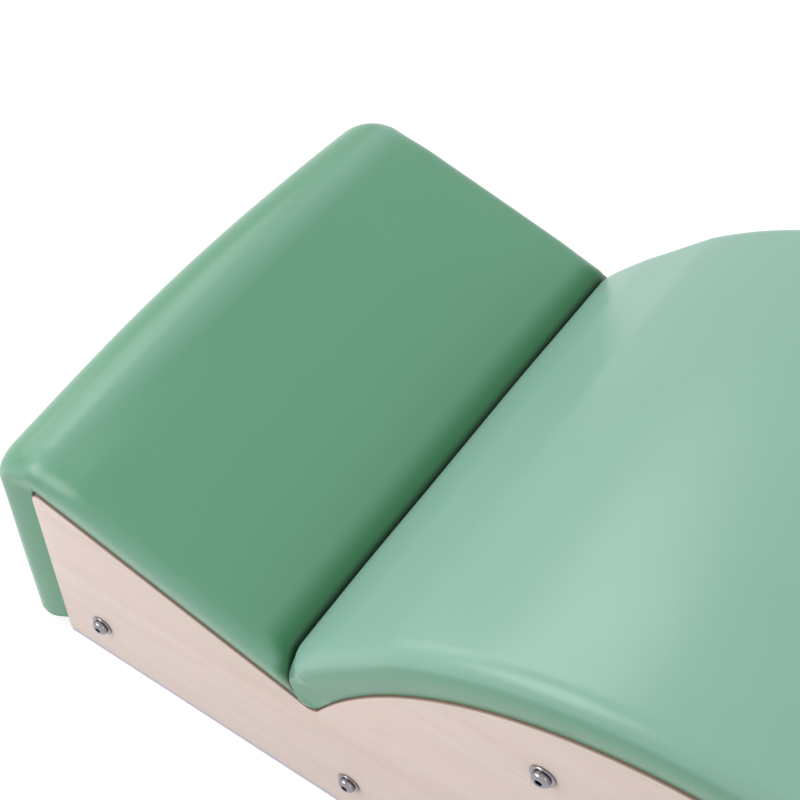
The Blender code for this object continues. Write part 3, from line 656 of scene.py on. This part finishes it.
PAD = 0.0415
COVER = 0.0012
FOAM_EASE = 0.001
CROWN = 0.004
PAD_TUCK = 0.002
PAD_BULGE = 0.002
BULGE_RISE = 0.016
EDGE_ROUND = 0.018
RIDGE_ROUND = 0.026
RIDGE_DEPTH = 0.0145
NEAR_SAG = 0.0118
FAR_SAG = 0.006
SAG_POWER = 1.8
SAG_START = 0.1
SAG_SWEEP = 2.6
RIDGE_RADIUS = 0.042
HEM_CORNER = 0.004
HEM_CURL = 0.001
TOE_RADIUS = 0.004
TOE_ROUND = 0.006
PAD_FOOT = -0.001
PAD_HEEL = 0.009
CREASE_SETBACK = 0.0240
CREASE_SINK = 0.003
CREASE_PULL = 0.0145
CREASE_DIVE = 0.023
CREASE_GAP = 0.0006
CREASE_ROUND = 0.028
CREASE_FALL = 0.020
CREASE_FOOT = 0.08
STEP_END_RADIUS = 0.022
NOSE_END = math.radians(138)
NOSE_RISE = 0.004
NOSE_BLEND = 0.045
ROW_SPACE = 0.007
UNEVEN = 0.0005
RIPPLES_ALONG = 9
RIPPLES_ACROSS = 2.2
WELD = 0.00001
TOWARDS_CREASE = ((EDGE_ROUND + CREASE_ROUND) / 2, (EDGE_ROUND + CREASE_FALL) / 2)


def crease_handles():
    """The four handles of the curve between the pads, from the valley up to their surfaces."""
    low = deep - (OFF + ALONG) * CREASE_PULL
    top = slope_point((valley() - FOOT).x - CREASE_SETBACK, PAD) - Vector((0, CREASE_SINK))
    return deep, low, top - OFF * CREASE_DIVE + ALONG * CREASE_PULL, top


def crease_point(share, shift=0.0):
    """A point between the pads, from the valley at 0 to the top at 1, shifted to the barrel."""
    a, b, c, d = crease_handles()
    rest = 1 - share
    point = a * rest ** 3 + b * (3 * rest ** 2 * share) + c * (3 * rest * share ** 2) + d * share ** 3
    run = (b - a) * rest ** 2 + (c - b) * (2 * rest * share) + (d - c) * share ** 2
    return point + Vector((run.y, -run.x)).normalized() * shift


def crease_row(share, side, foot):
    """A row on the face that one pad presses on the other. It slips down towards the sides."""
    _, _, high, top = crease_handles()
    fall = CREASE_FALL / (3 * (top - high).length)

    def place_at(turn, across, sink):
        upper = 1 - fall * (1 - math.cos(turn))
        return crease_point(foot + (upper - foot) * share, sink if side > 0 else -sink - CREASE_GAP)

    return CREASE_ROUND, place_at


def surface_row(point, normal, edge, depth, crown, sag, fall_way=None):
    """A row on the pad's surface. It is swollen in the middle, pulled in towards the two sides, the
    more so on the right, and rounded over at its two ends."""
    def place_at(turn, across, sink):
        spot = Vector((point.x * RIPPLES_ALONG, across * RIPPLES_ACROSS, point.y * RIPPLES_ALONG))
        ripple = noise.noise(spot) * UNEVEN
        swell = CROWN * crown * (1 - across ** 2) + ripple
        pull = sag * (FAR_SAG if across > 0 else NEAR_SAG) * abs(across) ** SAG_POWER
        inset = sink if fall_way else sink * math.cos(turn)
        level = point + normal * (swell - pull - inset)
        return level - (fall_way or normal) * (depth * (1 - math.cos(turn)))

    return edge, place_at


def surface_rows(before, stops, after, fall_way=None):
    """Rows square to a run of points, each with its rounding's width and depth and its crown.
    More rows are laid between stops that are far apart."""
    fine = []
    for stop, following in zip(stops, stops[1:]):
        steps = max(1, math.ceil((following[0] - stop[0]).length / ROW_SPACE))
        for i in range(steps):
            t = i / steps
            ease = t * t * (3 - 2 * t)
            values = [p + (q - p) * ease for p, q in zip(stop[1:], following[1:])]
            fine.append((stop[0].lerp(following[0], t), *values))
    fine.append(stops[-1])
    points = [before] + [stop[0] for stop in fine] + [after]
    rows = []
    for i, (point, *shape) in enumerate(fine):
        run = points[i + 2] - points[i]
        rows.append(surface_row(point, Vector((-run.y, run.x)).normalized(), *shape, fall_way=fall_way))
    return rows


def crease_foot(lift, floor):
    """The lowest share of the crease that is used: its foot, or where it clears a floor."""
    share = CREASE_FOOT
    while lift(crease_point(share)) < floor:
        share += 0.01
    return share


def step_rows(floor):
    """The step pad's rows, from the foot of its end to the valley, that lie over a floor."""
    heel = FOOT + Vector((-FIT, PAD_HEEL))
    toe = FOOT + Vector((-PAD, PAD_FOOT))
    ridge = slope_point(-PAD, PAD)
    top = crease_point(1, -CREASE_GAP)
    bottom = fillet(heel, toe, ridge, TOE_RADIUS, 6)
    over = fillet(toe, ridge, slope_point((top - FOOT).x, PAD), RIDGE_RADIUS, 16)
    drop = PAD - slope_lift(top)
    run = math.sqrt(2 * STEP_END_RADIUS * drop - drop ** 2)
    leave = top + OFF * drop - ALONG * run
    start = math.atan2(OFF.y, OFF.x)
    ease = turn_about(leave - OFF * STEP_END_RADIUS, STEP_END_RADIUS, start,
                      start - math.asin(run / STEP_END_RADIUS), 8)[:-1]
    towards_ridge = ((EDGE_ROUND + RIDGE_ROUND) / 2, (EDGE_ROUND + RIDGE_DEPTH) / 2)
    end_way = (toe - heel).normalized()
    rows = surface_rows(heel, [(p, EDGE_ROUND, EDGE_ROUND, 0.0, 0.0) for p in bottom], ridge, end_way)
    stops = [(toe.lerp(ridge, 0.35), EDGE_ROUND, EDGE_ROUND, 0.6, 0.0)]
    stops += [(p, RIDGE_ROUND, RIDGE_DEPTH, 1.0, math.sin(SAG_START + SAG_SWEEP * i / len(over)))
              for i, p in enumerate(over)]
    stops += [(over[-1].lerp(leave, 0.2), *towards_ridge, 0.8, 0.0)]
    stops += [(over[-1].lerp(leave, t), EDGE_ROUND, EDGE_ROUND, 1.0, 0.0) for t in (0.5, 0.8)]
    stops += [(p, *TOWARDS_CREASE, 0.3, 0.0) for p in ease]
    rows += surface_rows(bottom[-1], [(bottom[-1].lerp(stops[0][0], 0.05), EDGE_ROUND, EDGE_ROUND, 0.0, 0.0)]
                         + stops, top)
    if not floor:
        rows = surface_rows(heel, [(heel, HEM_ROUND, HEM_ROUND, 0.0, 0.0)], bottom[0]) + rows
    low = crease_foot(slope_lift, floor)
    return rows + [crease_row(share, -1, low) for share in spread(1, 0, 14)]


def barrel_rows(floor):
    """The barrel pad's rows, from the valley to the foot of its far end, that lie over a floor."""
    top = crease_point(1)
    join = arc_point(NOSE_END, PAD)
    rise = top + (top - crease_handles()[2]).normalized() * NOSE_RISE
    pull = join - Vector((math.sin(NOSE_END), -math.cos(NOSE_END))) * NOSE_BLEND
    nose = []
    for t in spread(0.1, 0.9, 8):
        s = 1 - t
        nose.append(top * s ** 3 + rise * (3 * s * s * t) + pull * (3 * s * t * t) + join * t ** 3)
    heel = arc_point(angle_at_height(PAD_HEEL), FIT)
    toe = arc_point(angle_at_height(PAD_FOOT, PAD), PAD)
    arc = [arc_point(a, PAD)
           for a in spread(NOSE_END, angle_at_height(PAD_FOOT + TOE_RADIUS * 2, PAD), 90)]
    bottom = fillet(arc[-1], toe, heel, TOE_RADIUS, 6)
    towards_toe = (EDGE_ROUND + TOE_ROUND) / 2
    stops = [(p, *TOWARDS_CREASE, 0.4, 0.0) for p in nose]
    stops += [(p, EDGE_ROUND, EDGE_ROUND, 0.6, 0.0) for p in arc[6:-1]]
    stops += [(arc[-1], towards_toe, towards_toe, 0.4, 0.0)]
    stops += [(p, TOE_ROUND, TOE_ROUND, 0.0, 0.0) for p in bottom]
    rows = surface_rows(top, stops, heel)
    if not floor:
        rows += surface_rows(bottom[-1], [(heel, HEM_ROUND, HEM_ROUND, 0.0, 0.0)], heel)
    low = crease_foot(arc_lift, floor)
    return [crease_row(share, 1, low) for share in spread(0, 1, 14)] + rows


def step_hem(lift):
    """Finds the nearest point to a place in the pad on the step's end and slope, raised by lift."""
    if lift < VALLEY_FILLET:
        radius, rest = HEM_CORNER, valley_fillet(lift)
    else:
        radius, rest = BOARD_CORNER, [board_end + OFF * lift + ALONG * FIT]
    foot = FOOT + Vector((-lift, PAD_HEEL + HEM_ROUND))
    path = [foot] + fillet(foot, slope_point(-lift, lift), rest[0], radius, 12) + rest

    def nearest(point):
        best = path[0]
        for start, end in zip(path, path[1:]):
            run = end - start
            share = (point - start).dot(run) / run.length_squared
            spot = start + run * max(0.0, min(1.0, share))
            if (spot - point).length < (best - point).length:
                best = spot
        return best

    return nearest


def barrel_hem(lift):
    """Finds the nearest point to a place in the pad on the arc, raised by lift."""
    low = angle_at_height(PAD_HEEL + HEM_ROUND)
    high = arc_angle(deep) - (BARREL_BOARD_SETBACK / ARC_RADIUS if lift >= VALLEY_FILLET else 0)
    return lambda point: arc_point(max(low, min(high, arc_angle(point))), lift)


def pad_places(rows, nearest, sink, curl):
    """Where the points of a pad's surface lie: one line per row, from one hem to the other."""
    lower = WIDTH / 2 - PAD_TUCK - sink
    columns = [(1, turn) for turn in spread(math.pi / 2, 0, 9)[:-1]] + [(f, 0) for f in spread(1, 0, 8)]
    lines = []
    for edge, place_at in rows:
        halves = []
        for sign in (1, -1):
            rim = place_at(math.pi / 2, sign, sink)
            hem = nearest(rim)
            height = max(FIT, (rim - hem).length)
            swell = (PAD_TUCK + PAD_BULGE) * min(1, height / BULGE_RISE)
            tuck = min(curl, height / 3)
            half = []
            for a in spread(0, math.pi / 2, 4)[:-1]:
                half.append((hem.lerp(rim, tuck * (1 - math.cos(a)) / height),
                             lower - tuck * (1 - math.sin(a))))
            for t in spread(0, 1, 6)[:-1]:
                share = tuck / height * (1 - t) + t
                half.append((hem.lerp(rim, share), lower + swell * math.sin(t * math.pi / 2)))
            flat = lower + swell + sink - edge
            for share, turn in columns:
                y = share * (flat + (edge - sink) * math.sin(turn))
                half.append((place_at(turn, sign * min(1, 2 * y / WIDTH), sink), y))
            halves.append([Vector((p.x, sign * y, p.y)) for p, y in half])
        lines.append(halves[0] + halves[1][-2::-1])
    return lines


def lay(bm, lines):
    """Lays a flat grid over the places that it is given."""
    long = len(lines) - 1
    wide = len(lines[0]) - 1
    grid = bmesh.ops.create_grid(bm, x_segments=long, y_segments=wide, size=0.5)
    for v in grid["verts"]:
        v.co = lines[round((v.co.x + 0.5) * long)][round((v.co.y + 0.5) * wide)]


def leather_skin(rows, hem_at):
    """A cover: leather of one thickness over the pad's top, sides and ends, open underneath."""
    bm = bmesh.new()
    lay(bm, pad_places(rows, hem_at(FIT), 0.0, HEM_CURL))
    lay(bm, pad_places(rows, hem_at(FIT), COVER, HEM_CURL))
    bmesh.ops.bridge_loops(bm, edges=[e for e in bm.edges if e.is_boundary])
    bmesh.ops.remove_doubles(bm, verts=bm.verts, dist=WELD)
    bmesh.ops.recalc_face_normals(bm, faces=bm.faces)
    return bm


def foam_block(rows, hem_at):
    """The foam: it fills the cover down to the board."""
    bm = bmesh.new()
    lines = pad_places(rows, hem_at(FIT + BOARD + FIT * 2), COVER + FOAM_EASE, 0.0)
    for line in lines:
        line += [line[-1].lerp(line[0], t) for t in spread(0, 1, 10)[1:]]
    lay(bm, lines)
    bmesh.ops.remove_doubles(bm, verts=bm.verts, dist=WELD)
    bmesh.ops.holes_fill(bm, edges=[e for e in bm.edges if e.is_boundary], sides=0)
    bmesh.ops.recalc_face_normals(bm, faces=bm.faces)
    return bm


# Coated upholstery leather: a soft, even skin with a low sheen and a fine pebbled grain. Light and
# shade are painted into its colour: a paler green with painted sheen on the barrel's top and the
# step's ridge and end, where light falls, a deeper green on the step's top and the sides, where shade
# falls, and painted shade, dark, in the crease. The real grain is about 0.6 mm. It is drawn at 1.2 mm,
# as coarse as it needs to show.
leather, tree, shader = new_finish("green_coated_leather")
place = add(tree, "ShaderNodeTexCoord", {}).outputs["Object"]
pebble = add(tree, "ShaderNodeTexVoronoi", {"Vector": place, "Scale": 830.0},
             feature="SMOOTH_F1").outputs["Distance"]
cloudy = add(tree, "ShaderNodeTexNoise", {"Vector": place, "Scale": 14.0, "Detail": 4.0}).outputs[0]
# Painted light: mixes a deeper green, for leather in shade, and a paler one, for light and sheen.
grain_scale_or_painted_light = add(tree, "ShaderNodeAttribute", {}, attribute_name="grain_scale_or_painted_light").outputs["Fac"]
gap = add(tree, "ShaderNodeAttribute", {}, attribute_name="gap").outputs["Fac"]
painted_shade_green = add(tree, "ShaderNodeMix", {0: cloudy, 6: colour("5A8E70"), 7: colour("588B6E")}, data_type="RGBA")
painted_light_green = add(tree, "ShaderNodeMix", {0: cloudy, 6: colour("7DA594"), 7: colour("7BA290")}, data_type="RGBA")
green = add(tree, "ShaderNodeMix", {0: grain_scale_or_painted_light, 6: painted_shade_green.outputs[2], 7: painted_light_green.outputs[2]}, data_type="RGBA")
between = add(tree, "ShaderNodeMapRange", {"Value": pebble, 1: 0.5, 2: 0.95, 4: 0.10}).outputs[0]
green = add(tree, "ShaderNodeMix", {0: between, 6: green.outputs[2], 7: colour("456F56")},
            data_type="RGBA")
# Painted shade: the green is painted darker within about 32 mm of the barrel's skin.
shade = add(tree, "ShaderNodeMapRange", {"Value": gap, 1: 8.0, 2: 32.0, 3: 0.84, 4: 0.0},
            interpolation_type="SMOOTHSTEP").outputs[0]
green = add(tree, "ShaderNodeMix", {0: shade, 6: green.outputs[2], 7: colour("005D2B")}, data_type="RGBA")
# Painted shadow: near black where the gap falls under 8 mm, at the crease line.
crease_painted_shadow = add(tree, "ShaderNodeMapRange", {"Value": gap, 1: 0.0, 2: 8.0, 3: 1.0, 4: 0.0},
           interpolation_type="SMOOTHSTEP").outputs[0]
green = add(tree, "ShaderNodeMix", {0: crease_painted_shadow, 6: green.outputs[2], 7: colour("001A03")}, data_type="RGBA")
tree.links.new(green.outputs[2], shader.inputs["Base Color"])
rough = add(tree, "ShaderNodeMapRange", {"Value": cloudy, 3: 0.27, 4: 0.33})
tree.links.new(rough.outputs[0], shader.inputs["Roughness"])
shader.inputs["Specular IOR Level"].default_value = 0.4
bump = add(tree, "ShaderNodeBump", {"Height": pebble, "Strength": 0.08, "Distance": 0.0002}, invert=True)
tree.links.new(bump.outputs[0], shader.inputs["Normal"])

# Polyurethane foam: pale, matt, with open cells about 1 mm across.
foam, tree, shader = new_finish("cut_polyurethane_foam")
place = add(tree, "ShaderNodeTexCoord", {}).outputs["Object"]
cells = add(tree, "ShaderNodeTexVoronoi", {"Vector": place, "Scale": 1000.0}).outputs["Distance"]
cream = add(tree, "ShaderNodeMix", {0: cells, 6: colour("EDE6D2"), 7: colour("CFC3A2")}, data_type="RGBA")
tree.links.new(cream.outputs[2], shader.inputs["Base Color"])
shader.inputs["Roughness"].default_value = 0.95
bump = add(tree, "ShaderNodeBump", {"Height": cells, "Strength": 0.5, "Distance": 0.0004})
tree.links.new(bump.outputs[0], shader.inputs["Normal"])

foam_floor = FIT + BOARD + FIT * 2 + COVER + FOAM_EASE
covers = {}
for name, rows_over, hem_at in (("step", step_rows, step_hem), ("barrel", barrel_rows, barrel_hem)):
    cover = keep(f"{name}_cover_leather", leather_skin(rows_over(0), hem_at), leather, "green_leather",
                 f"{name}_cover", sharp=75)
    covers[name] = cover
    block = keep(f"{name}_foam_block", foam_block(rows_over(foam_floor), hem_at), foam, "foam",
                 f"{name}_foam")


# Where light and shade are painted on the skins. The painted light is 0 for the shaded green and 1
# for the lit green, and the gap to the other pad, which sets the painted shade, is in millimetres.
# Shares of painted light on the step's ridge, end, end corner and sides, and on the barrel's sides.
RIDGE_PAINTED_LIGHT = 0.55
RIDGE_FROM, RIDGE_PEAK, RIDGE_TO = 28, 42, 64
END_PAINTED_LIGHT = 0.6
END_CORNER_PAINTED_LIGHT = 0.75
STEP_SIDE_PAINTED_LIGHT = 0.36
BARREL_SIDE_PAINTED_LIGHT = 0.25
UNDER_RIM = (-0.3, 0.1)
NO_GAP = 40.0
SIDE_GAP = 14


def smooth(low, high, value):
    """Rises softly from 0 at low to 1 at high."""
    share = max(0.0, min(1.0, (value - low) / (high - low)))
    return share * share * (3 - 2 * share)


def step_painted_light(place, normal):
    """Painted light on the step's skin: none on its shaded top, more on its ridge, end and sides."""
    along = (Vector((place.x, place.z)) - slope_point(-PAD)).dot(ALONG) * 1000
    ridge = RIDGE_PAINTED_LIGHT * smooth(RIDGE_FROM, RIDGE_PEAK, along) * (1 - smooth(RIDGE_PEAK, RIDGE_TO, along))
    lean = math.degrees(STEP_SLOPE - math.atan2(normal.x, normal.z))
    top = ridge + END_PAINTED_LIGHT * smooth(82, 97, lean)
    from_end = (place.x - FOOT.x) * 1000
    side = STEP_SIDE_PAINTED_LIGHT * smooth(*UNDER_RIM, normal.z) * smooth(-10, 30, from_end)
    side = max(side, END_CORNER_PAINTED_LIGHT * smooth(0.0, 0.4, -normal.x))
    return top + (side - top) * smooth(0.5, 0.95, abs(normal.y))


def barrel_painted_light(place, normal):
    """Painted light on the barrel's skin: full on its top, less on its shaded sides."""
    side = BARREL_SIDE_PAINTED_LIGHT * smooth(*UNDER_RIM, normal.z)
    edge = smooth(WIDTH / 2 - 0.022, WIDTH / 2 - 0.004, abs(place.y)) * (1 - smooth(0.1, 0.4, normal.z))
    return 1.0 + (side - 1.0) * max(smooth(0.84, 0.97, abs(normal.y)), edge)


barrel_mesh = covers["barrel"].data
barrel_skin = BVHTree.FromPolygons([v.co for v in barrel_mesh.vertices],
                                   [f.vertices for f in barrel_mesh.polygons])
for name, painted_light_at in (("step", step_painted_light), ("barrel", barrel_painted_light)):
    mesh = covers[name].data
    mesh.attributes.new("grain_scale_or_painted_light", "FLOAT", "POINT")
    mesh.attributes.new("gap", "FLOAT", "POINT")
    painted_light_values = mesh.attributes["grain_scale_or_painted_light"].data
    gaps = mesh.attributes["gap"].data
    for vertex in mesh.vertices:
        painted_light_values[vertex.index].value = painted_light_at(vertex.co, vertex.normal)
        # Only the step's skin gets painted shade by its gap, and its sides less so.
        far = barrel_skin.find_nearest(vertex.co)[3] * 1000 if name == "step" else NO_GAP
        aside = smooth(0.3, 0.9, abs(vertex.normal.y)) * smooth(1.5, 6, far)
        gaps[vertex.index].value = far + SIDE_GAP * aside
